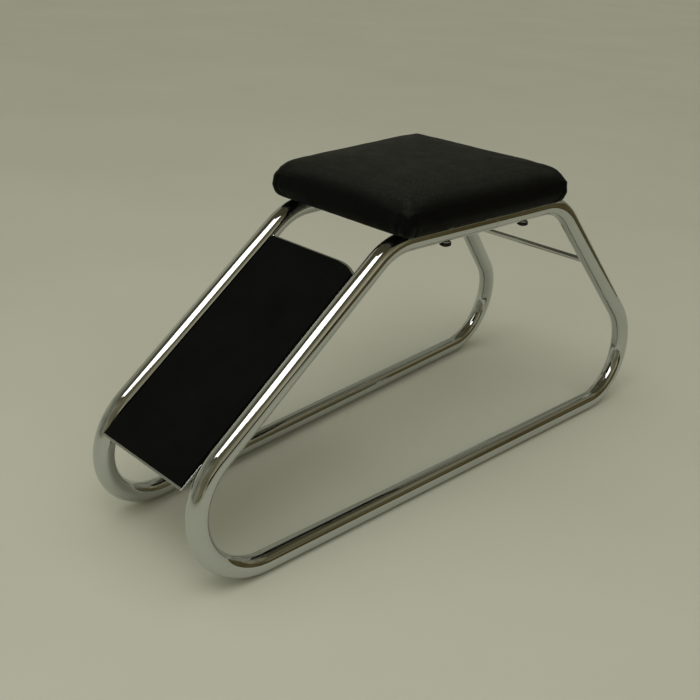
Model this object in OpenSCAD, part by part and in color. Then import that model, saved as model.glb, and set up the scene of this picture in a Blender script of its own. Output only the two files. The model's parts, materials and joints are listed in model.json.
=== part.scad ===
// Low straddle stool with a sloping footrest: two bent-tube side loops, a plate and mat between
// the front legs, a rear cross rod and an upholstered seat bolted to the top rails.
// Front (footrest) faces -Y, +Z is up. Origin: middle of the footprint, on the floor.

/* [Frame tube] */
// Outside diameter of the bent tube
tube_d = 25.4; // [19:0.1:32]
// Wall thickness of the bent tube
tube_wall = 1.6; // [1:0.1:2.5]
// Centreline radius of every bend
bend_r = 83; // [60:1:100]
// Slope of the front legs above the floor, degrees
leg_slope = 36.8; // [30:0.1:45]
// Turn of each side loop about its own front leg, degrees
splay = 5.2; // [0:0.1:8]
// Half the distance between the front leg axes
leg_half = 87.6; // [75:0.1:110]
// Front leg, sharp corner to sharp corner
leg_len = 557; // [500:1:620]
// Top rail, sharp corner to sharp corner
top_len = 321; // [280:1:360]
// Floor rail, sharp corner to sharp corner
base_len = 1059; // [950:1:1150]
// Distance of the butt joint from the front top corner, along the rail
seam_at = 177; // [160:1:210]
// Length of the sleeve inside the butt joint
sleeve_len = 60; // [40:1:80]

/* [Cross rod] */
// Diameter of the rod between the rear legs
rod_d = 8; // [6:0.5:12]
// Distance of the rod below the rear top corner, along the leg
rod_at = 138.5; // [110:0.5:170]
// Radius of the weld fillet round each rod end
rod_weld_r = 6.6; // [5:0.1:8]

/* [Footrest] */
// Lower edge of the plate, measured up the leg from the front floor corner
plate_low = 199; // [180:1:220]
// Upper edge of the plate, measured the same way
plate_high = 514; // [480:1:525]
// Half width of the plate
plate_half = 74.6; // [70:0.1:74.8]
// Thickness of the plate
plate_t = 2.5; // [1.5:0.1:4]
// Height of the plate's top face above the leg axes
plate_rise = 3; // [0:0.1:8]
// Half width of the mat
mat_half = 73; // [64:0.5:74]
// Thickness of the mat
mat_t = 3; // [2:0.1:5]
// Bare plate left above and below the mat
mat_margin = 2.6; // [0.5:0.1:5]
// Start of the rounded upper right corner, from the middle
round_x = 43.6; // [30:0.1:60]
// Radius of the rounded upper right corner
round_r = 54; // [35:1:80]
// Length of each weld bead under the plate
bead_len = 26; // [15:1:40]

/* [Seat] */
// Front edge of the seat along Y
seat_front = -122.5; // [-135:0.5:-110]
// Depth of the seat, front to back
seat_depth = 296; // [280:1:320]
// Width of the seat at its front edge
seat_w = 235; // [210:1:250]
// Flare of each side edge, degrees
seat_flare = 4; // [2:0.1:6]
// Radius of the seat's corners in plan
seat_corner = 9; // [8:1:45]
// Height at which the seat is widest
seat_wall = 15; // [10:1:30]
// Radius of the seat's soft upper edge
seat_edge = 32; // [10:1:36]
// How far the seat's lower edge is drawn in
seat_tuck = 5.5; // [1:0.5:8]
// Full thickness of the seat at its crown
seat_t = 52; // [38:0.5:56]
// Thickness of the vinyl cover
cover_t = 1.2; // [0.8:0.1:2]
// Inner edge of the cover's turned-under hem, in from the seat's outline
hem_w = 19; // [15:0.5:22]
// Thickness of the plywood board
board_t = 12; // [9:1:18]

/* [Fasteners] */
// First bolt from the front top corner, along the rail
bolt_1 = 94; // [70:1:120]
// Second bolt from the front top corner, along the rail
bolt_2 = 244; // [200:1:270]
// Bolt shank diameter
bolt_d = 6; // [5:0.5:8]
// Clearance hole through the rails
bolt_hole = 6.6; // [6.2:0.1:8]
// Washer diameter
washer_d = 12.5; // [12:0.5:22]
// Washer thickness
washer_t = 1.5; // [1:0.1:2]
// Diameter of the black cap over each bolt head
cap_d = 14.5; // [14:0.5:22]
// Height of the black cap
cap_h = 6; // [5:0.5:9]

/* [Hidden] */
$fn = 64;
tube_r = tube_d / 2;
bore_r = tube_r - tube_wall;
rail_angle = atan(tan(leg_slope) / cos(splay));
u = [0, cos(leg_slope), sin(leg_slope)];
v = [sin(splay), sin(leg_slope) * cos(splay), -cos(leg_slope) * cos(splay)];
down = [cos(rail_angle), -sin(rail_angle)];
p_floor_front = [0, 0];
p_top_front = [leg_len, 0];
p_top_rear = p_top_front + top_len * down;
p_floor_rear = base_len * down;
loop_pts = [p_floor_front, p_floor_rear, p_top_rear, p_top_front];
function unit(a) = a / norm(a);
function inner(a, b, c) = acos(unit(a - b) * unit(c - b));
function setback(a, b, c) = bend_r / tan(inner(a, b, c) / 2);
function centre(a, b, c) =
    b + unit(unit(a - b) + unit(c - b)) * bend_r / sin(inner(a, b, c) / 2);
function before(i) = loop_pts[(i + 3) % 4];
function after(i) = loop_pts[(i + 1) % 4];
function heading(a) = atan2(a[1], a[0]);
// offset of a loop point from the front floor corner, in the part's frame
function lift(q) = q[0] * u - q[1] * v;
reach = bend_r * sqrt(1 - pow(sin(leg_slope) * sin(splay), 2)) + tube_r;
c_front = centre(before(0), loop_pts[0], after(0));
c_rear = centre(before(1), loop_pts[1], after(1));
y_front = lift(c_front)[1] - reach;
y_rear = lift(c_rear)[1] + reach;
y0 = -(y_front + y_rear) / 2;
foot = [leg_half, y0, tube_r];
function world(q) = foot + lift(q);
function on_rail(s) = world(p_top_front + s * down);
toe = atan2(on_rail(1)[0] - on_rail(0)[0], on_rail(1)[1] - on_rail(0)[1]);
rail_top = on_rail(0)[2] + tube_r;
rail_low = on_rail(0)[2] - tube_r;
rear_dir = unit(p_floor_rear - p_top_rear);
rod_pt = world(p_top_rear + rod_at * rear_dir);
bolts = [on_rail(bolt_1), on_rail(bolt_2)];
board_z = rail_top + cover_t;
foam_z = board_z + board_t;
seat_back = seat_front + seat_depth;
seat_grow = seat_depth * tan(seat_flare);
// bent stretches are drawn a hair thinner, and straights reach a little way over them
lap = 1.5;
thin = 0.04;

// Which node to build

// ---- placing ----

module place_loop() {
    translate(foot)
        rotate([leg_slope, 0, 0])
            rotate([0, -splay, 0])
                rotate([90, 0, 90])
                    children();
}

module place_foot() {
    translate([0, y0, tube_r])
        rotate([leg_slope, 0, 0])
            children();
}

module both() {
    children();
    mirror([1, 0, 0])
        children();
}

// ---- bent tube ----

module ring2d(outer, bore) {
    difference() {
        circle(r = outer);
        circle(r = bore);
    }
}

module straight(a, b, outer, bore) {
    translate([a[0], a[1], 0])
        rotate([0, 90, heading(b - a)])
            difference() {
                cylinder(r = outer, h = norm(b - a));
                translate([0, 0, -1])
                    cylinder(r = bore, h = norm(b - a) + 2);
            }
}

module side(i) {
    a = loop_pts[i];
    b = after(i);
    d = unit(b - a);
    s0 = setback(before(i), a, b);
    s1 = setback(a, b, after(i + 1));
    straight(a + (s0 - lap) * d, b - (s1 - lap) * d, tube_r, bore_r);
}

module bend(i) {
    a = before(i);
    b = loop_pts[i];
    c = after(i);
    m = centre(a, b, c);
    t0 = b + unit(a - b) * setback(a, b, c);
    translate([m[0], m[1], 0])
        rotate([0, 0, heading(t0 - m)])
            rotate_extrude(angle = 180 - inner(a, b, c))
                translate([bend_r, 0])
                    ring2d(tube_r - thin, bore_r + thin);
}

module loop_tube() {
    union() {
        for (i = [0:3]) {
            side(i);
            bend(i);
        }
    }
}

module seam_groove() {
    m = p_top_front + seam_at * down;
    translate([m[0], m[1], 0])
        rotate([0, 90, heading(down)])
            translate([0, 0, -0.4])
                difference() {
                    cylinder(r = tube_r + 2, h = 0.8);
                    translate([0, 0, -1])
                        cylinder(r = tube_r - 0.4, h = 3);
                }
}

module bolt_drill(p) {
    translate([p[0], p[1], rail_low - 4])
        cylinder(d = bolt_hole, h = tube_d + 8);
}

module right_loop() {
    difference() {
        place_loop()
            difference() {
                loop_tube();
                seam_groove();
            }
        for (p = bolts)
            bolt_drill(p);
    }
}

module right_side_frame() {
    color([0.82, 0.83, 0.84])
        right_loop();
}

module left_side_frame() {
    color([0.82, 0.83, 0.84])
        mirror([1, 0, 0])
            right_loop();
}

module sleeve() {
    a = p_top_front + (seam_at - sleeve_len / 2) * down;
    b = p_top_front + (seam_at + sleeve_len / 2) * down;
    place_loop()
        straight(a, b, bore_r, bore_r - 1.5);
}

module right_joint_sleeve() {
    color([0.6, 0.61, 0.62])
        sleeve();
}

module left_joint_sleeve() {
    color([0.6, 0.61, 0.62])
        mirror([1, 0, 0])
            sleeve();
}

// ---- rear cross rod ----

// the rear leg as a plain round bar, for shaping what meets it
module leg_bar() {
    a = p_top_rear + (rod_at - 40) * rear_dir;
    place_loop()
        translate([a[0], a[1], 0])
            rotate([0, 90, heading(rear_dir)])
                cylinder(r = tube_r, h = 80);
}

module rear_cross_rod() {
    color([0.82, 0.83, 0.84])
        difference() {
            translate([-rod_pt[0], rod_pt[1], rod_pt[2]])
                rotate([0, 90, 0])
                    cylinder(d = rod_d, h = 2 * rod_pt[0]);
            both()
                leg_bar();
        }
}

module rod_weld() {
    difference() {
        translate([rod_pt[0] - tube_r - 3.2, rod_pt[1], rod_pt[2]])
            rotate([0, 90, 0])
                cylinder(r1 = rod_d / 2 + 0.4, r2 = rod_weld_r, h = 7);
        translate([0, rod_pt[1], rod_pt[2]])
            rotate([0, 90, 0])
                cylinder(d = rod_d, h = rod_pt[0] + 10);
        leg_bar();
    }
}

module rear_rod_welds() {
    color([0.72, 0.73, 0.74])
        both()
            rod_weld();
}

// ---- footrest ----

module rest2d(half, margin) {
    r = round_r - margin;
    a0 = asin((half - round_x) / r);
    c = [round_x, plate_high - round_r];
    polygon(concat(
        [[-half, plate_low + margin], [half, plate_low + margin]],
        [for (i = [0:6]) c + r * [sin(a0 * (1 - i / 6)), cos(a0 * (1 - i / 6))]],
        [[-half, plate_high - margin]]
    ));
}

module footrest_plate() {
    color([0.8, 0.81, 0.82])
        place_foot()
            translate([0, 0, plate_rise - plate_t])
                linear_extrude(plate_t)
                    rest2d(plate_half, 0);
}

module footrest_mat() {
    color([0.03, 0.03, 0.035])
        place_foot()
            translate([0, 0, plate_rise])
                linear_extrude(mat_t)
                    rest2d(mat_half, mat_margin);
}

module bead(t) {
    difference() {
        translate([leg_half - tube_r - 0.9, t - bead_len / 2, plate_rise - plate_t - 1.6])
            rotate([-90, 0, 0])
                cylinder(r = 3, h = bead_len);
        translate([leg_half, t - bead_len, 0])
            rotate([-90, 0, 0])
                cylinder(r = tube_r, h = 2 * bead_len);
        translate([0, t - bead_len, plate_rise - plate_t])
            cube([leg_half, 2 * bead_len, 10]);
    }
}

module footrest_welds() {
    color([0.72, 0.73, 0.74])
        place_foot()
            both()
                for (t = [282, 375, 468])
                    bead(t);
}

// ---- seat ----

// one thin slice of the seat's plan outline, drawn in from the edge
module slice(inset, z) {
    r = max(seat_corner - inset, 4);
    k = inset + r;
    for (s = [-1, 1]) {
        translate([s * (seat_w / 2 + seat_grow * k / seat_depth - k), seat_front + k, z])
            cylinder(r = r, h = 0.5, $fn = 32);
        translate([s * (seat_w / 2 + seat_grow * (1 - k / seat_depth) - k), seat_back - k, z])
            cylinder(r = r, h = 0.5, $fn = 32);
    }
}

// the padded shape, or its inside when drawn in by c
module pillow(c) {
    r = seat_edge - c;
    hull() {
        slice(seat_tuck + c, rail_top + c);
        slice(c, rail_top + seat_wall - 0.5);
        for (a = [25, 50, 72, 90])
            slice(c + r * (1 - cos(a)), rail_top + seat_wall + r * sin(a) - 0.5);
        slice(seat_edge + 28, rail_top + seat_t - c - 0.5);
    }
}

// the same outline as points, for the flat pieces
function corner_x(y, k) = seat_w / 2 + (y - seat_front) * tan(seat_flare) - k;
function plan(inset) =
    let (r = max(seat_corner - inset, 4), k = inset + r)
    [for (c = [[1, -1, -90], [1, 1, 0], [-1, 1, 90], [-1, -1, 180]])
        for (i = [0:6])
            let (y = c[1] < 0 ? seat_front + k : seat_back - k, a = c[2] + 15 * i)
            [c[0] * corner_x(y, k) + r * cos(a), y + r * sin(a)]];

module slab(inset, z0, z1) {
    translate([0, 0, z0])
        linear_extrude(z1 - z0)
            polygon(plan(inset));
}

// staple places: x, y and turn about Z
side_y = [-88, -17, 54, 125];
function edge_x(y, inset) = seat_w / 2 + (y - seat_front) * tan(seat_flare) - inset;
hem_mid = 12.5;
board_in = 8;
hem_spots = concat(
    [for (y = side_y) [edge_x(y, hem_mid), y, 90]],
    [for (y = side_y) [-edge_x(y, hem_mid), y, 90]],
    [for (x = [-45, 0, 45]) [x, seat_front + hem_mid, 0]],
    [for (x = [-55, 0, 55]) [x, seat_back - hem_mid, 0]]
);
dust_spots = concat(
    [for (x = [-48, 0, 48]) [x, seat_front + hem_w + 6, 0]],
    [for (x = [-52, 0, 52]) [x, seat_back - hem_w - 6, 0]],
    [for (s = [-1, 1]) [s * 66, 30, 90]]
);

module staple(p) {
    translate([p[0], p[1], rail_top])
        rotate([0, 0, p[2]]) {
            translate([-5, -0.6, -0.7])
                cube([10, 1.2, 0.7]);
            for (s = [-1, 1])
                translate([s * 4.4 - 0.6, -0.6, -0.1])
                    cube([1.2, 1.2, 7.1]);
        }
}

module staple_legs(p) {
    translate([p[0], p[1], rail_top])
        rotate([0, 0, p[2]])
            for (s = [-1, 1])
                translate([s * 4.4 - 0.6, -0.6, -1])
                    cube([1.2, 1.2, 8]);
}

module seat_board() {
    color([0.72, 0.55, 0.36])
        difference() {
            slab(board_in, board_z, foam_z);
            both()
                for (p = bolts)
                    translate([p[0], p[1], board_z - 1])
                        cylinder(d = 8, h = board_t + 2);
            for (p = hem_spots)
                staple_legs(p);
            for (p = dust_spots)
                staple_legs(p);
        }
}

module seat_foam() {
    color([0.86, 0.8, 0.55])
        difference() {
            pillow(cover_t);
            slab(board_in, board_z - 1, foam_z);
            both()
                for (p = bolts)
                    translate([p[0], p[1], foam_z - 1])
                        cylinder(r = 9.8, h = 2.6);
        }
}

module seat_cover() {
    color([0.04, 0.04, 0.045])
        difference() {
            pillow(0);
            pillow(cover_t);
            slab(hem_w, rail_top - 1, board_z + 1);
            for (p = hem_spots)
                staple_legs(p);
        }
}

module seat_dust_cover() {
    color([0.08, 0.08, 0.08])
        difference() {
            slab(hem_w + 0.4, rail_top, board_z);
            both()
                for (p = bolts)
                    translate([p[0], p[1], rail_top - 1])
                        cylinder(d = bolt_hole, h = cover_t + 2);
            for (p = dust_spots)
                staple_legs(p);
        }
}

module cover_staples() {
    color([0.7, 0.7, 0.72])
        for (p = hem_spots)
            staple(p);
}

module dust_cover_staples() {
    color([0.7, 0.7, 0.72])
        for (p = dust_spots)
            staple(p);
}

// ---- fasteners ----

module tee_nut(p) {
    translate([p[0], p[1], foam_z - 9])
        difference() {
            union() {
                cylinder(d = 8, h = 9);
                translate([0, 0, 9])
                    cylinder(r = 9.5, h = 1.4);
            }
            translate([0, 0, -1])
                cylinder(d = bolt_d + 0.1, h = 13);
        }
}

module seat_tee_nuts() {
    color([0.75, 0.72, 0.6])
        both()
            for (p = bolts)
                tee_nut(p);
}

module bolt(p) {
    z = rail_low - washer_t;
    translate([p[0], p[1], z])
        cylinder(d = bolt_d, h = foam_z + 0.8 - z);
    translate([p[0], p[1], z - 4])
        cylinder(d = 11.5, h = 4, $fn = 6);
}

module seat_bolts() {
    color([0.6, 0.61, 0.63])
        both()
            for (p = bolts)
                bolt(p);
}

module washer(p) {
    translate([p[0], p[1], rail_low - washer_t])
        difference() {
            cylinder(d = washer_d, h = washer_t);
            translate([0, 0, -1])
                cylinder(d = bolt_d + 0.4, h = washer_t + 2);
        }
}

module bolt_washers() {
    color([0.7, 0.71, 0.72])
        both()
            for (p = bolts)
                washer(p);
}

module cap(p) {
    translate([p[0], p[1], rail_low - washer_t])
        mirror([0, 0, 1])
            difference() {
                intersection() {
                    cylinder(d = cap_d, h = cap_h);
                    translate([0, 0, cap_h - 12])
                        sphere(r = 12);
                }
                translate([0, 0, -1])
                    cylinder(d = 11.7, h = 5.1, $fn = 6);
            }
}

module bolt_caps() {
    color([0.02, 0.02, 0.02])
        both()
            for (p = bolts)
                cap(p);
}

right_side_frame();
left_side_frame();
right_joint_sleeve();
left_joint_sleeve();
rear_cross_rod();
rear_rod_welds();
footrest_plate();
footrest_welds();
footrest_mat();
seat_board();
seat_foam();
seat_cover();
seat_dust_cover();
cover_staples();
dust_cover_staples();
seat_tee_nuts();
seat_bolts();
bolt_washers();
bolt_caps();
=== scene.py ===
"""Looks for the low straddle stool: chrome tube loops, vinyl seat, matted footrest."""
import json
import math

import bmesh
import bpy
import numpy as np
from mathutils import Matrix, Vector, noise
from mathutils.bvhtree import BVHTree

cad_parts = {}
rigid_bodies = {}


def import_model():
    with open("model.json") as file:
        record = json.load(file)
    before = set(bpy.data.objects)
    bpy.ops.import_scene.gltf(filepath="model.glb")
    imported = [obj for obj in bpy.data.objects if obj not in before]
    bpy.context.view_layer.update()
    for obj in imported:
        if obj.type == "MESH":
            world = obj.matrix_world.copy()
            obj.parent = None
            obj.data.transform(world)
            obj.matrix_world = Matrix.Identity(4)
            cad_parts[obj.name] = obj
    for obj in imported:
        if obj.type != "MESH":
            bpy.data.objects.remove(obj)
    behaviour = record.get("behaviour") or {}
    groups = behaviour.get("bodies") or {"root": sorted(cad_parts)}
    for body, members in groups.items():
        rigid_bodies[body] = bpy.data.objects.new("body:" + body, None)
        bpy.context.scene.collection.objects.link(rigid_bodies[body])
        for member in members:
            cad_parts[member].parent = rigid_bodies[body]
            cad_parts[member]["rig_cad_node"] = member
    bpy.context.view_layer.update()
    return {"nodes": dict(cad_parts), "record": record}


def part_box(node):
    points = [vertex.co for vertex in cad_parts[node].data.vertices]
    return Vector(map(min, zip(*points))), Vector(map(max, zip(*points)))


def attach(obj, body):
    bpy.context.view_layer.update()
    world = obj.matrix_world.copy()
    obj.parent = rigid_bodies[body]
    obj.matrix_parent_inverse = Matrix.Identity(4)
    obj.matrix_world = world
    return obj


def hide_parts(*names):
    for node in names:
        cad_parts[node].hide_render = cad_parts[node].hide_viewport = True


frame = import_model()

NODES = frame["nodes"]
SCENE = bpy.context.scene

# ---- design numbers repeated from the CAD source, in metres ----
MM = 0.001
TUBE_R = 12.7 * MM
LEG_SLOPE = math.radians(36.8)

# the seat's plan outline, and the profile of its sides
SEAT_LO, SEAT_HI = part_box("seat_cover")
SEAT_FRONT, SEAT_BACK = SEAT_LO.y, SEAT_HI.y
SEAT_MID_Y = (SEAT_FRONT + SEAT_BACK) / 2
SEAT_Z0, SEAT_Z1 = SEAT_LO.z, SEAT_HI.z
SEAT_HALF = 117.5 * MM
SEAT_FLARE = math.tan(math.radians(4))
SEAT_CORNER = 9 * MM
SEAT_CORNER_MIN = 4 * MM
SEAT_WALL = 15 * MM
SEAT_EDGE = 32 * MM
SEAT_TUCK = 5.5 * MM
HEM_W = 19 * MM

# the footrest: lengths are measured up the leg from its front floor corner
PLATE_RISE = 3 * MM
PLATE_LOW, PLATE_HIGH = 199 * MM, 514 * MM
ROUND_X, PLATE_ROUND_R = 43.6 * MM, 54 * MM
MAT_T = 3 * MM
MAT_HALF = 73 * MM
MAT_MARGIN = 2.6 * MM
MAT_LOW, MAT_HIGH = PLATE_LOW + MAT_MARGIN, PLATE_HIGH - MAT_MARGIN
MAT_ROUND_R = PLATE_ROUND_R - MAT_MARGIN

# ---- looks ----
CROWN_REACH = 62 * MM        # from the edge's end to the flat middle of the seat's top
CROWN_RINGS = 7
SIM_SHRINK = 3.5 * MM        # how much smaller the cushion starts, so that pressure can fill it
VOXEL = 4.5 * MM
EDGE_WIDTHS = {"footrest_plate": 0.5 * MM, "seat_bolts": 0.5 * MM, "bolt_washers": 0.3 * MM}
ROOM_TONE = (0.290, 0.287, 0.211)
CAMERA_AT = (0.7517, -0.8687, 0.6828)
CAMERA_ANGLES = {"azimuth": 43.0352, "elevation": 24.0151, "roll": 3.1492}
CAMERA_LENS = 47.374
CAMERA_SHIFT = (-0.0160, -0.0262)


# ---- node helpers ----

def new_material(name):
    mat = bpy.data.materials.new(name)
    mat.use_nodes = True
    tree = mat.node_tree
    tree.nodes.clear()
    out = tree.nodes.new("ShaderNodeOutputMaterial")
    bsdf = tree.nodes.new("ShaderNodeBsdfPrincipled")
    tree.links.new(bsdf.outputs["BSDF"], out.inputs["Surface"])
    return mat, tree, bsdf


def set_input(tree, sock, value):
    if isinstance(value, bpy.types.NodeSocket):
        tree.links.new(value, sock)
    else:
        sock.default_value = value


def node(tree, kind, **values):
    """A shader node with its inputs set by name, or by number as i0, i1 and so on."""
    n = tree.nodes.new("ShaderNode" + kind)
    for key, value in values.items():
        by_number = key[0] == "i" and key[1:].isdigit()
        set_input(tree, n.inputs[int(key[1:])] if by_number else n.inputs[key], value)
    return n


def place(tree, scale=(1, 1, 1)):
    """The object's own coordinates, in metres, stretched by scale."""
    coord = tree.nodes.new("ShaderNodeTexCoord")
    return node(tree, "Mapping", Vector=coord.outputs["Object"], Scale=scale).outputs[0]


def noise_tex(tree, where, scale, detail=4.0, rough=0.55, distortion=0.0):
    n = node(tree, "TexNoise", Vector=where, Scale=scale, Detail=detail, Roughness=rough,
             Distortion=distortion)
    return n.outputs["Fac"]


def ramp(tree, value, stops):
    n = node(tree, "ValToRGB", Fac=value)
    els = n.color_ramp.elements
    while len(els) < len(stops):
        els.new(0.5)
    for el, (pos, col) in zip(els, stops):
        el.position = pos
        el.color = (*col, 1)
    return n.outputs["Color"]


def grey(v):
    return (v, v, v)


def span(tree, value, lo, hi, to_lo, to_hi):
    """Maps lo..hi on to to_lo..to_hi, clamped at both ends."""
    n = node(tree, "MapRange", Value=value)
    n.inputs[1].default_value, n.inputs[2].default_value = lo, hi
    n.inputs[3].default_value, n.inputs[4].default_value = to_lo, to_hi
    return n.outputs[0]


def bump(tree, height, strength, distance, after=None):
    n = node(tree, "Bump", Height=height, Strength=strength, Distance=distance)
    if after is not None:
        tree.links.new(after, n.inputs["Normal"])
    return n.outputs["Normal"]


def math_node(tree, op, a, b=None):
    n = tree.nodes.new("ShaderNodeMath")
    n.operation = op
    for sock, value in zip(n.inputs, (a, b)):
        if value is not None:
            set_input(tree, sock, value)
    return n.outputs[0]


def feed(tree, bsdf, **values):
    """Sets the surface's inputs by short name."""
    names = {"base": "Base Color", "rough": "Roughness", "metal": "Metallic", "normal": "Normal",
             "sheen": "Sheen Weight", "spec": "Specular IOR Level"}
    for key, value in values.items():
        set_input(tree, bsdf.inputs[names[key]], value)


# ---- materials ----

def chrome(name, tint, rough, wear=0.5):
    """Bright plating: a little haze that varies, faint polishing marks, tiny pits."""
    mat, t, b = new_material(name)
    where = place(t)
    haze = noise_tex(t, where, 9, 5)
    marks = noise_tex(t, place(t, (900, 60, 900)), 1.0, 3)
    pits = node(t, "TexVoronoi", Vector=where, Scale=420)
    spots = span(t, pits.outputs["Distance"], 0.0, 0.09, 1.0, 0.0)
    dull = math_node(t, "MULTIPLY", spots, span(t, haze, 0.55, 0.75, 0, wear))
    hazed = span(t, haze, 0.3, 0.75, rough * 0.6, rough * 1.9)
    rgh = math_node(t, "ADD", hazed, math_node(t, "MULTIPLY", dull, 0.3))
    base = ramp(t, haze, [(0.3, tuple(c * 0.94 for c in tint)), (0.7, tint)])
    n1 = bump(t, marks, 0.04, 0.0002)
    n2 = bump(t, noise_tex(t, where, 55, 2), 0.035, 0.002, n1)
    feed(t, b, base=base, metal=1.0, rough=rgh, normal=n2)
    return mat


def weld_metal():
    """Weld beads: a ripple across the bead, and heat tint in patches."""
    mat, t, b = new_material("weld_metal")
    where = place(t)
    ripple = node(t, "TexWave", Vector=where, Scale=330, Distortion=2.5, Detail=2)
    ripple.bands_direction = "Y"
    burn = noise_tex(t, where, 130, 4)
    base = ramp(t, burn, [(0.3, (0.34, 0.31, 0.27)), (0.7, (0.62, 0.62, 0.6))])
    feed(t, b, base=base, metal=1.0, rough=span(t, burn, 0.2, 0.8, 0.22, 0.42),
         normal=bump(t, ripple.outputs["Fac"], 0.5, 0.0006))
    return mat


def zinc(name, tint, rough):
    """Plated fasteners and plain inner steel: fine mottling and drawing marks."""
    mat, t, b = new_material(name)
    mottle = noise_tex(t, place(t), 240, 4)
    marks = noise_tex(t, place(t, (2500, 300, 300)), 1, 2)
    base = ramp(t, mottle, [(0.3, tuple(c * 0.8 for c in tint)), (0.7, tint)])
    feed(t, b, base=base, metal=1.0, rough=span(t, mottle, 0.2, 0.8, rough * 0.7, rough * 1.4),
         normal=bump(t, marks, 0.15, 0.0002))
    return mat


def vinyl():
    """Black upholstery vinyl: pebbled grain in two sizes and soft creases, with painted light that makes it
    paler where it faces up.
    """
    mat, t, b = new_material("black_vinyl")
    where = place(t)
    warp = node(t, "TexNoise", Vector=where, Scale=260, Detail=2)
    mixed = node(t, "MixRGB", i0=0.0025, i1=where, i2=warp.outputs["Color"])
    edge = node(t, "TexVoronoi", Vector=mixed.outputs[0], Scale=620)
    edge.feature = "DISTANCE_TO_EDGE"
    groove = span(t, edge.outputs["Distance"], 0.0, 0.22, 0.0, 1.0)
    fine = noise_tex(t, where, 1700, 3)
    broad = noise_tex(t, where, 7, 4)
    cloud = noise_tex(t, where, 34, 5)
    tone = ramp(t, broad, [(0.3, (0.0018, 0.0019, 0.0018)), (0.7, (0.0028, 0.0030, 0.0027))])
    # painted light and shade: faces that look up get a much paler colour than the sides, standing in for
    # the light on the top and the shade on the sides
    facing = node(t, "SeparateXYZ", Vector=t.nodes.new("ShaderNodeTexCoord").outputs["Normal"])
    top_light_tone = ramp(t, broad, [(0.3, (0.0205, 0.0216, 0.0180)), (0.7, (0.0262, 0.0276, 0.0228))])
    upward = span(t, facing.outputs["Z"], 0.4, 0.8, 0.0, 1.0)
    lit_top_shaded_sides = node(t, "MixRGB", i0=upward, i1=tone, i2=top_light_tone).outputs[0]
    # painted shade: the grooves of the grain keep the dark side colour, so they read darker than the paler
    # top
    base = node(t, "MixRGB", i0=groove, i1=(0.0018, 0.0018, 0.0018, 1), i2=lit_top_shaded_sides).outputs[0]
    rgh = math_node(t, "ADD", span(t, cloud, 0.25, 0.75, 0.43, 0.56), span(t, groove, 0, 1, 0.1, 0.0))
    n1 = bump(t, groove, 0.32, 0.0004)
    n2 = bump(t, fine, 0.12, 0.0002, n1)
    n3 = bump(t, cloud, 0.12, 0.004, n2)
    feed(t, b, base=base, rough=rgh, spec=0.07, normal=n3)
    return mat


def rubber_mat():
    """Dull black mat: a close pebble, soft scuffs and a little lint."""
    mat, t, b = new_material("mat_rubber")
    where = place(t)
    grain = node(t, "TexVoronoi", Vector=where, Scale=900)
    grain.feature = "SMOOTH_F1"
    fine = noise_tex(t, where, 2300, 2)
    cloud = noise_tex(t, where, 16, 5)
    scuff = noise_tex(t, place(t, (40, 8, 8)), 5, 6, 0.7)
    lint = span(t, noise_tex(t, where, 700, 2), 0.72, 0.8, 0, 0.35)
    tone = ramp(t, cloud, [(0.3, (0.0022, 0.0024, 0.0022)), (0.7, (0.0036, 0.0038, 0.0036))])
    lint_here = math_node(t, "MULTIPLY", lint, span(t, scuff, 0.5, 0.7, 0, 0.3))
    base = node(t, "MixRGB", i0=lint_here, i1=tone, i2=(0.07, 0.07, 0.065, 1)).outputs[0]
    n1 = bump(t, grain.outputs["Distance"], 0.35, 0.0003)
    n2 = bump(t, fine, 0.2, 0.0002, n1)
    feed(t, b, base=base, rough=span(t, scuff, 0.3, 0.7, 0.68, 0.84), spec=0.07, normal=n2)
    return mat


def black_plastic():
    """Moulded caps: satin black with a fine texture."""
    mat, t, b = new_material("cap_plastic")
    where = place(t)
    fine = noise_tex(t, where, 900, 3)
    base = ramp(t, noise_tex(t, where, 120, 3), [(0.3, grey(0.008)), (0.7, grey(0.014))])
    feed(t, b, base=base, rough=span(t, fine, 0.2, 0.8, 0.4, 0.55), spec=0.2,
         normal=bump(t, fine, 0.12, 0.0002))
    return mat


def plywood(ply_pitch=3.4 * MM):
    """Seat board: long grain on the faces, and darker plies through its thickness."""
    mat, t, b = new_material("plywood")
    grain = noise_tex(t, place(t, (6, 90, 6)), 3, 6, 0.6, 0.8)
    coord = t.nodes.new("ShaderNodeTexCoord")
    z = node(t, "SeparateXYZ", Vector=coord.outputs["Object"]).outputs["Z"]
    plies = math_node(t, "SINE", math_node(t, "MULTIPLY", z, 2 * math.pi / ply_pitch))
    tone = ramp(t, grain, [(0.25, (0.42, 0.27, 0.14)), (0.75, (0.62, 0.45, 0.27))])
    dark = span(t, plies, -1, 1, 0.0, 0.3)
    base = node(t, "MixRGB", i0=dark, i1=tone, i2=(0.3, 0.18, 0.09, 1)).outputs[0]
    feed(t, b, base=base, rough=0.7, normal=bump(t, grain, 0.2, 0.0006))
    return mat


def foam():
    """Yellowed foam with open cells."""
    mat, t, b = new_material("foam")
    where = place(t)
    cells = node(t, "TexVoronoi", Vector=where, Scale=800)
    base = ramp(t, noise_tex(t, where, 20, 3), [(0.3, (0.7, 0.6, 0.3)), (0.7, (0.8, 0.72, 0.42))])
    feed(t, b, base=base, rough=0.95, normal=bump(t, cells.outputs["Distance"], 0.5, 0.0006))
    return mat


def dust_cloth():
    """Black non-woven cloth: fine embossed points and loose fibres."""
    mat, t, b = new_material("dust_cloth")
    points = node(t, "TexVoronoi", Vector=place(t), Scale=640)
    fibres = noise_tex(t, place(t, (1, 4, 1)), 700, 5, 0.7, 1.2)
    base = ramp(t, fibres, [(0.35, grey(0.008)), (0.75, grey(0.03))])
    n1 = bump(t, points.outputs["Distance"], 0.4, 0.0004)
    feed(t, b, base=base, rough=0.9, sheen=0.2, normal=bump(t, fibres, 0.3, 0.0004, n1))
    return mat


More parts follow.
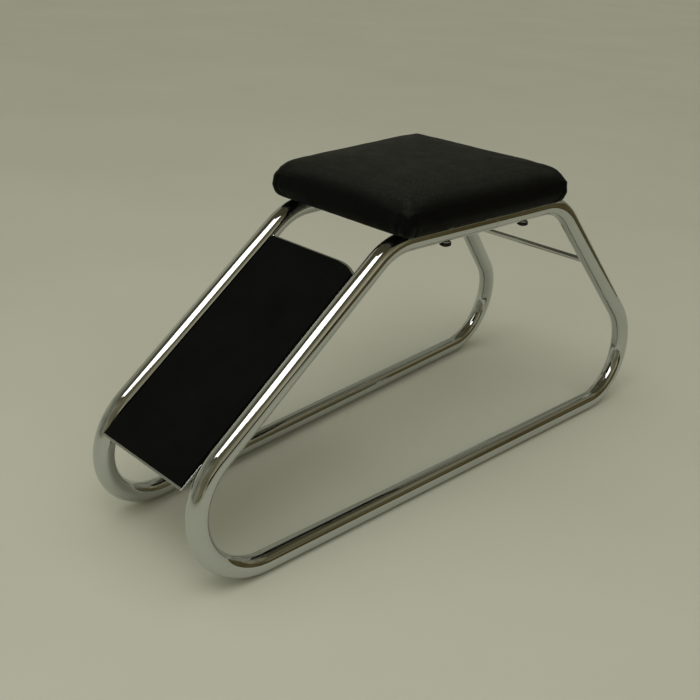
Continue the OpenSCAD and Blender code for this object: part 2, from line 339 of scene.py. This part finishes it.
def studio_cloth():
    """Plain pale floor: a faint weave and very soft unevenness."""
    mat, t, b = new_material("studio_floor")
    where = place(t)
    threads = []
    for direction in "XY":
        wave = node(t, "TexWave", Vector=where, Scale=320, Distortion=0.6)
        wave.bands_direction = direction
        threads.append(wave.outputs["Fac"])
    weave = math_node(t, "ADD", *threads)
    base = ramp(t, noise_tex(t, where, 1.6, 3), [(0.3, (0.505, 0.51, 0.425)), (0.7, (0.535, 0.54, 0.455))])
    n1 = bump(t, weave, 0.1, 0.0006)
    n2 = bump(t, noise_tex(t, where, 2.4, 3), 0.06, 0.06, n1)
    feed(t, b, base=base, rough=0.9, spec=0.2, sheen=0.1, normal=n2)
    return mat


def flag_cloth():
    """Uneven brown cloth for the reflection card."""
    mat, t, b = new_material("studio_flag")
    folds = noise_tex(t, place(t), 3.0, 3)
    base = ramp(t, folds, [(0.3, (0.115, 0.09, 0.042)), (0.7, (0.23, 0.19, 0.105))])
    feed(t, b, base=base, rough=0.9, spec=0.1, normal=bump(t, folds, 0.1, 0.002))
    return mat


MATERIALS = {
    "chrome_tube": chrome("chrome_tube", (0.58, 0.60, 0.59), 0.045, wear=0.7),
    "chrome_rod": chrome("chrome_rod", (0.60, 0.615, 0.61), 0.09),
    "plate_steel": chrome("plate_steel", (0.66, 0.675, 0.67), 0.12, wear=0.8),
    "weld_metal": weld_metal(),
    "inner_steel": zinc("inner_steel", (0.6, 0.6, 0.58), 0.35),
    "bolt_steel": zinc("bolt_steel", (0.66, 0.67, 0.68), 0.28),
    "staple_wire": zinc("staple_wire", (0.68, 0.68, 0.7), 0.25),
    "mat_rubber": rubber_mat(),
    "plywood": plywood(),
    "foam": foam(),
    "black_vinyl": vinyl(),
    "dust_cloth": dust_cloth(),
    "cap_plastic": black_plastic(),
}

SLOTS = {s["node"]: s["material_slot"] for s in frame["record"]["subparts"]}
for name, obj in NODES.items():
    for i in range(len(obj.data.materials)):
        obj.data.materials[i] = MATERIALS[SLOTS[name]]


# ---- mesh helpers ----

def mesh_object(name, verts, faces, slot):
    data = bpy.data.meshes.new(name)
    data.from_pydata(verts, [], faces)
    data.update()
    obj = bpy.data.objects.new(name, data)
    SCENE.collection.objects.link(obj)
    data.materials.append(MATERIALS[slot])
    return obj


def apply_modifiers(obj):
    """Bakes the modifiers into the mesh."""
    graph = bpy.context.evaluated_depsgraph_get()
    graph.update()
    baked = bpy.data.meshes.new_from_object(obj.evaluated_get(graph), depsgraph=graph)
    old = obj.data
    obj.modifiers.clear()
    obj.data = baked
    bpy.data.meshes.remove(old)
    baked.name = obj.name


def coords(obj):
    co = np.empty(len(obj.data.vertices) * 3, np.float32)
    obj.data.vertices.foreach_get("co", co)
    return co.reshape(-1, 3).astype(float)


def set_coords(obj, co):
    obj.data.vertices.foreach_set("co", co.astype(np.float32).ravel())
    obj.data.update()


def normals(obj):
    no = np.empty(len(obj.data.vertices) * 3, np.float32)
    obj.data.vertex_normals.foreach_get("vector", no)
    return no.reshape(-1, 3).astype(float)


def shade_smooth(obj):
    for p in obj.data.polygons:
        p.use_smooth = True


def smooth_step(x, lo, hi):
    t = np.clip((x - lo) / (hi - lo), 0, 1)
    return t * t * (3 - 2 * t)


def hump(x, width, power=2):
    """1 at x = 0, falling to nothing over a few widths."""
    return np.exp(-(x / width) ** power)


def soften_edges(obj, width):
    """Rounds a CAD node's sharp edges by a hair, so that they catch the light."""
    weld = obj.modifiers.new("Weld", "WELD")
    weld.merge_threshold = 0.01 * MM
    bevel = obj.modifiers.new("Bevel", "BEVEL")
    bevel.width, bevel.segments, bevel.limit_method = width, 2, "ANGLE"
    bevel.angle_limit = math.radians(50)


# ---- seat cushion ----

def seat_half_width(y):
    return SEAT_HALF + (y - SEAT_FRONT) * SEAT_FLARE


CORNERS = [np.array([side * seat_half_width(y), y])
           for side, y in ((1, SEAT_FRONT), (1, SEAT_BACK), (-1, SEAT_BACK), (-1, SEAT_FRONT))]


def seat_ring(inset, z, steps=8):
    """The seat's plan outline, drawn in by inset, at one height."""
    r = max(SEAT_CORNER - inset, SEAT_CORNER_MIN)
    k = inset + r
    pts = []
    for sx, sy, start in ((1, -1, -90), (1, 1, 0), (-1, 1, 90), (-1, -1, 180)):
        y = SEAT_FRONT + k if sy < 0 else SEAT_BACK - k
        x = sx * (seat_half_width(y) - k)
        for i in range(steps + 1):
            a = math.radians(start + 90 * i / steps)
            pts.append((x + r * math.cos(a), y + r * math.sin(a), z))
    return pts


def lofted(rings):
    """A closed skin through the rings, with flat ends."""
    verts = [p for ring in rings for p in ring]
    n = len(rings[0])
    faces = [(j * n + i, j * n + (i + 1) % n, (j + 1) * n + (i + 1) % n, (j + 1) * n + i)
             for j in range(len(rings) - 1) for i in range(n)]
    faces.append(tuple(reversed(range(n))))
    faces.append(tuple(range((len(rings) - 1) * n, len(rings) * n)))
    return verts, faces


def seat_rings(shrink):
    """The cushion's rings from its bottom to its crown, all made smaller by shrink."""
    z0, top = SEAT_Z0, SEAT_Z1 - shrink
    rings = [seat_ring(SEAT_TUCK + shrink, z0), seat_ring(SEAT_TUCK * 0.35 + shrink, z0 + 6 * MM),
             seat_ring(shrink, z0 + SEAT_WALL)]
    edge = SEAT_EDGE - shrink
    for angle in range(12, 91, 13):
        a = math.radians(angle)
        rings.append(seat_ring(shrink + edge * (1 - math.cos(a)), z0 + SEAT_WALL + edge * math.sin(a)))
    rim = z0 + SEAT_WALL + edge
    for i in range(1, CROWN_RINGS + 1):
        t = i / CROWN_RINGS
        rings.append(seat_ring(SEAT_EDGE + CROWN_REACH * t, rim + (top - rim) * (1 - (1 - t) ** 2)))
    return rings


def inflate(obj, pin_below, pressure=4.0, cap=6 * MM, frames=20):
    """Cloth pressure on a closed shell whose lowest points are held, then capped and baked."""
    start = coords(obj)
    group = obj.vertex_groups.new(name="held")
    group.add([int(i) for i in np.where(start[:, 2] < pin_below)[0]], 1.0, "REPLACE")
    mod = obj.modifiers.new("Cloth", "CLOTH")
    s = mod.settings
    s.quality, s.mass = 6, 0.25
    s.tension_stiffness = s.compression_stiffness = 12
    s.shear_stiffness, s.bending_stiffness = 8, 0.6
    s.use_pressure, s.uniform_pressure_force = True, pressure
    s.effector_weights.gravity = 0.0
    s.vertex_group_mass = "held"
    mod.collision_settings.use_collision = False
    mod.collision_settings.use_self_collision = False
    mod.point_cache.frame_start, mod.point_cache.frame_end = 1, frames
    for f in range(1, frames + 1):
        SCENE.frame_set(f)
    apply_modifiers(obj)
    SCENE.frame_set(1)
    moved = coords(obj) - start
    far = np.linalg.norm(moved, axis=1, keepdims=True)
    set_coords(obj, start + moved * np.minimum(1, cap / np.maximum(far, 1e-9)))


def fit_to_outline(obj, ease=0.95):
    """Draws the filled shape most of the way on to the cover's finished profile, then plumps it."""
    shape = BVHTree.FromPolygons(*lofted(seat_rings(0)))
    co = coords(obj)
    for i, p in enumerate(co):
        hit = shape.find_nearest(Vector(p))[0]
        co[i] += (np.array(hit) - p) * ease
    set_coords(obj, co)
    rise = co[:, 2] - SEAT_Z0
    corner = np.min([np.hypot(*(co[:, :2] - c).T) for c in CORNERS], axis=0)
    plump = 0.9 * MM * smooth_step(rise, 6 * MM, 16 * MM)
    crown = 0.7 + 1.0 * smooth_step(corner, 20 * MM, 70 * MM)
    plump += smooth_step(rise, 28 * MM, 44 * MM) * crown * MM
    set_coords(obj, co + normals(obj) * plump[:, None])


def refine_corners(obj, reach=34 * MM):
    """Halves the mesh spacing round the four corners, where the pleats go."""
    bm = bmesh.new()
    bm.from_mesh(obj.data)
    near = [e for e in bm.edges
            if min(math.hypot(e.verts[0].co.x - c[0], e.verts[0].co.y - c[1]) for c in CORNERS) < reach]
    bmesh.ops.subdivide_edges(bm, edges=near, cuts=1, use_grid_fill=True, smooth=0.6)
    bm.to_mesh(obj.data)
    bm.free()
    obj.data.update()


def side_distance(co):
    """How far in from the seat's sharp outline each point is."""
    in_x = seat_half_width(co[:, 1]) - np.abs(co[:, 0])
    return np.minimum(np.minimum(in_x, co[:, 1] - SEAT_FRONT), SEAT_BACK - co[:, 1])


def draw_in_sides(co, no, depth, pull=0.9 * MM):
    """Pulls each side in, most at its middle and not at all at the corners."""
    half_depth = (SEAT_BACK - SEAT_FRONT) / 2
    across = np.cos(np.clip(co[:, 0] / (SEAT_HALF + 6 * MM), -1, 1) * math.pi / 2)
    along = np.cos(np.clip((co[:, 1] - SEAT_MID_Y) / half_depth, -1, 1) * math.pi / 2)
    above_hem = smooth_step(co[:, 2] - SEAT_Z0, 9 * MM, 20 * MM)
    amount = pull * (1 - smooth_step(depth, 20 * MM, 60 * MM)) * above_hem
    sideways = (np.abs(no[:, 0]) > 0.02) * np.abs(no[:, 0])
    co[:, 0] -= np.sign(co[:, 0]) * amount * along * sideways
    co[:, 1] -= np.sign(co[:, 1] - SEAT_MID_Y) * amount * across * np.abs(no[:, 1])


def corner_relief(co, up_face, index, corner):
    """Height of one corner's two pleats, the crest over them and the pull lines on the top."""
    out = np.array([np.sign(corner[0]), -1 if corner[1] < SEAT_MID_Y else 1]) / math.sqrt(2)
    tan = np.array([-out[1], out[0]])
    rel = co[:, :2] - corner
    t, near = rel @ tan, np.linalg.norm(rel, axis=1)
    rise = co[:, 2] - SEAT_Z0
    fade = 1 - smooth_step(near, 26 * MM, 36 * MM)
    low = 1 - smooth_step(rise, 24 * MM, 31 * MM)
    spread = (9.5 + 1.5 * math.sin(index * 2.1)) * MM + 0.06 * (24 * MM - rise)
    relief = np.zeros(len(co))
    for side, deep in ((-1, 1.3 * MM), (1, 1.0 * MM)):
        line = t - side * spread + 0.7 * MM * np.sin(rise * 260 + index + side)
        relief -= fade * low * deep * hump(line, 1.7 * MM)
        relief += fade * low * 0.4 * MM * hump(line - side * 3.6 * MM, 2.4 * MM)
    # a small crest where the pleats are gathered, and a hollow under it
    middle = hump(t, 10.5 * MM, 4) * fade
    relief += middle * 0.8 * MM * hump(rise - 28 * MM, 3.2 * MM)
    relief -= middle * 0.7 * MM * hump(rise - 20.5 * MM, 4.0 * MM)
    # pull lines that run from the corner over the top
    reach = smooth_step(near, 14 * MM, 30 * MM) * (1 - smooth_step(near, 55 * MM, 95 * MM))
    angle = np.arctan2(t, -(rel @ out))
    return relief + up_face * reach * 0.28 * MM * np.sin(angle * 13 + index * 1.7)


def lumps(co):
    """Soft unevenness of the padding, in two sizes."""
    points = [Vector(p) for p in co]
    return np.array([0.45 * MM * noise.noise(p * 17) + 0.16 * MM * noise.noise(p * 55) for p in points])


def staple_puckers(co, no, depth, pitch_y=35.5 * MM, pitch_x=30 * MM):
    """How far the cover is drawn in at each staple along its lower edge."""
    low_edge = 1 - smooth_step(co[:, 2] - SEAT_Z0, 1 * MM, 12 * MM)
    outer = 1 - smooth_step(depth, 8 * MM, 16 * MM)
    on_side = np.abs(no[:, 0]) > np.abs(no[:, 1])
    run = np.where(on_side, co[:, 1] / pitch_y, co[:, 0] / pitch_x)
    return low_edge * outer * 0.5 * MM * (0.5 + 0.5 * np.cos(2 * math.pi * run))


def dress_seat(obj):
    """Pleats, drawn-in sides, tension folds, staple puckers and the turned-under hem."""
    co, no = coords(obj), normals(obj)
    up_face = smooth_step(no[:, 2], 0.3, 0.8)
    depth = side_distance(co)
    underside = smooth_step(-no[:, 2], 0.6, 0.9) * (co[:, 2] < SEAT_Z0 + 4 * MM)
    draw_in_sides(co, no, depth)
    offset = sum(corner_relief(co, up_face, i, c) for i, c in enumerate(CORNERS))
    offset += lumps(co) - staple_puckers(co, no, depth)
    offset *= 1 - underside
    co += no * offset[:, None]
    # inside the hem the cover's underside is open to the dust cover
    inner = smooth_step(depth, HEM_W - 0.5 * MM, HEM_W + 2.5 * MM) * underside
    co[:, 2] += inner * 1.6 * MM
    co[:, 2] = np.maximum(co[:, 2], SEAT_Z0)
    set_coords(obj, co)


def make_seat():
    seat = mesh_object("seat_cushion", *lofted(seat_rings(SIM_SHRINK)), "black_vinyl")
    remesh = seat.modifiers.new("Remesh", "REMESH")
    remesh.mode, remesh.voxel_size = "VOXEL", VOXEL
    apply_modifiers(seat)
    inflate(seat, SEAT_Z0 + 3 * MM)
    relax = seat.modifiers.new("Smooth", "SMOOTH")
    relax.factor, relax.iterations = 0.5, 3
    sub = seat.modifiers.new("Subdivision", "SUBSURF")
    sub.levels = sub.render_levels = 1
    apply_modifiers(seat)
    fit_to_outline(seat)
    refine_corners(seat)
    dress_seat(seat)
    shade_smooth(seat)
    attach(seat, "root")
    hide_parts("seat_cover", "seat_foam")


# ---- footrest mat ----

def mat_right_edge(t):
    """The mat's right edge at a distance t up the leg: straight, then the rounded corner."""
    past = t - (MAT_HIGH - MAT_ROUND_R)
    if past < 0:
        return MAT_HALF
    return min(MAT_HALF, ROUND_X + math.sqrt(max(MAT_ROUND_R ** 2 - past ** 2, 0)))


def make_footrest_pad(across=62, along=124):
    """The thin mat: a dense sheet with soft edges and a slight waviness, on the plate."""
    slope_cos, slope_sin = math.cos(LEG_SLOPE), math.sin(LEG_SLOPE)
    face = PLATE_RISE + MAT_T
    leg_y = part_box("footrest_mat")[0].y - MAT_LOW * slope_cos + face * slope_sin
    verts = []
    for j in range(along + 1):
        t = MAT_LOW + (MAT_HIGH - MAT_LOW) * j / along
        right_x = mat_right_edge(t)
        for i in range(across + 1):
            x = -MAT_HALF + (right_x + MAT_HALF) * i / across
            wave = 0.22 * MM * noise.noise(Vector((x * 14, t * 9, 0.3)))
            wave += 0.07 * MM * noise.noise(Vector((x, t, 2)) * 60)
            d = face - 0.25 * MM + wave
            verts.append((x, leg_y + t * slope_cos - d * slope_sin, TUBE_R + t * slope_sin + d * slope_cos))
    w = across + 1
    faces = [(j * w + i, j * w + i + 1, (j + 1) * w + i + 1, (j + 1) * w + i)
             for j in range(along) for i in range(across)]
    pad = mesh_object("footrest_pad", verts, faces, "mat_rubber")
    solid = pad.modifiers.new("Solidify", "SOLIDIFY")
    solid.thickness, solid.offset = MAT_T - 0.3 * MM, -1
    bevel = pad.modifiers.new("Bevel", "BEVEL")
    bevel.width, bevel.segments, bevel.limit_method = 0.8 * MM, 3, "ANGLE"
    bevel.angle_limit = math.radians(40)
    apply_modifiers(pad)
    shade_smooth(pad)
    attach(pad, "root")
    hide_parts("footrest_mat")


# ---- camera: at the photograph's viewing angle ----

def view_axes(azimuth, elevation, roll):
    a, e, r = (math.radians(v) for v in (azimuth, elevation, roll))
    ahead = Vector((-math.sin(a) * math.cos(e), math.cos(a) * math.cos(e), -math.sin(e)))
    right = ahead.cross(Vector((0, 0, 1))).normalized()
    up = right.cross(ahead)
    return right * math.cos(r) + up * math.sin(r), up * math.cos(r) - right * math.sin(r), ahead


def make_camera():
    right, up, ahead = view_axes(**CAMERA_ANGLES)
    data = bpy.data.cameras.new("camera")
    camera = bpy.data.objects.new("camera", data)
    SCENE.collection.objects.link(camera)
    turn = Matrix((right, up, -ahead)).transposed()
    camera.matrix_world = Matrix.Translation(CAMERA_AT) @ turn.to_4x4()
    data.sensor_width, data.lens = 36.0, CAMERA_LENS
    data.shift_x, data.shift_y = CAMERA_SHIFT
    data.clip_start, data.clip_end = 0.05, 50
    SCENE.camera = camera


# ---- stage and light ----

def make_floor(radius=40.0):
    bm = bmesh.new()
    bmesh.ops.create_circle(bm, cap_ends=True, cap_tris=False, radius=radius, segments=96)
    data = bpy.data.meshes.new("studio_floor")
    bm.to_mesh(data)
    bm.free()
    floor = bpy.data.objects.new("studio_floor", data)
    SCENE.collection.objects.link(floor)
    data.materials.append(studio_cloth())


def make_flag(near=(1.62, 0.30), far=(0.28, 1.52), height=0.62):
    """A brown studio card to the right rear, which shows only in reflections."""
    verts = [(*near, 0.0), (*far, 0.0), (*far, height), (*near, height)]
    data = bpy.data.meshes.new("studio_flag")
    data.from_pydata(verts, [], [(0, 1, 2, 3)])
    flag = bpy.data.objects.new("studio_flag", data)
    SCENE.collection.objects.link(flag)
    data.materials.append(flag_cloth())
    for seen in ("visible_camera", "visible_diffuse", "visible_shadow"):
        setattr(flag, seen, False)


def make_lights():
    """A softbox over the front, which the tubes reflect, and a broad soft fill, which they don't."""
    place_at, look_at = Vector((0.38, -1.02, 2.1)), Vector((0.0, -0.2, 0))
    data = bpy.data.lights.new("overhead_softbox", "AREA")
    data.shape = "RECTANGLE"
    data.size, data.size_y, data.energy, data.color = 1.64, 1.0, 13, (1.0, 0.99, 0.95)
    softbox = bpy.data.objects.new("overhead_softbox", data)
    SCENE.collection.objects.link(softbox)
    softbox.location = place_at
    softbox.rotation_euler = (look_at - place_at).to_track_quat("-Z", "Y").to_euler()

    data = bpy.data.lights.new("soft_sun", "SUN")
    data.energy, data.angle, data.color = 1.4, math.radians(100), (1.0, 0.99, 0.94)
    sun = bpy.data.objects.new("soft_sun", data)
    SCENE.collection.objects.link(sun)
    sun.rotation_euler = (math.radians(18), math.radians(12), 0)
    sun.visible_glossy = False


def make_world():
    """The room that the plating reflects: pale cloth round the sides, darker above and at a gap."""
    world = bpy.data.worlds.new("studio_room")
    SCENE.world = world
    world.use_nodes = True
    t = world.node_tree
    t.nodes.clear()
    out = t.nodes.new("ShaderNodeOutputWorld")
    background = t.nodes.new("ShaderNodeBackground")
    t.links.new(background.outputs[0], out.inputs["Surface"])
    direction = t.nodes.new("ShaderNodeTexCoord").outputs["Generated"]
    xyz = node(t, "SeparateXYZ", Vector=direction).outputs
    side = span(t, xyz["X"], -1.0, 1.0, 0.0, 1.0)
    walls = ramp(t, side, [
        (0.0, (0.40, 0.39, 0.29)), (0.125, (0.27, 0.27, 0.20)), (0.25, (0.20, 0.21, 0.16)),
        (0.5, (0.22, 0.21, 0.155)), (0.75, (0.19, 0.175, 0.11)), (0.86, (0.13, 0.12, 0.06)),
        (0.92, (0.22, 0.20, 0.13)), (0.97, (0.40, 0.37, 0.26))])
    height = span(t, xyz["Z"], 0.66, 0.80, 0.0, 1.0)
    room = node(t, "MixRGB", i0=height, i1=walls, i2=(0.075, 0.066, 0.036, 1)).outputs[0]
    gap_side = span(t, xyz["X"], 0.90, 0.94, 0.0, 1.0)
    gap_low = span(t, xyz["Z"], -0.02, 0.01, 0.0, 1.0)
    gap_high = span(t, xyz["Z"], 0.12, 0.19, 1.0, 0.0)
    gap = math_node(t, "MULTIPLY", gap_side, math_node(t, "MULTIPLY", gap_low, gap_high))
    room = node(t, "MixRGB", i0=gap, i1=room, i2=(0.012, 0.008, 0.003, 1)).outputs[0]
    drapes = node(t, "TexNoise", Vector=direction, Scale=4.0, Detail=3)
    shade = span(t, drapes.outputs["Fac"], 0.4, 0.6, 0.72, 1.2)
    draped = node(t, "MixRGB", i0=1.0, i1=room, i2=shade)
    draped.blend_type = "MULTIPLY"
    # seen directly, the room is one plain tone that carries on from the floor
    seen = t.nodes.new("ShaderNodeLightPath").outputs["Is Camera Ray"]
    colour = node(t, "MixRGB", i0=seen, i1=draped.outputs[0], i2=(*ROOM_TONE, 1))
    t.links.new(colour.outputs[0], background.inputs["Color"])
    background.inputs["Strength"].default_value = 1.0


make_seat()
make_footrest_pad()
for name, width in EDGE_WIDTHS.items():
    soften_edges(NODES[name], width)
make_camera()
make_floor()
make_flag()
make_lights()
make_world()
SCENE.view_settings.view_transform = "Standard"
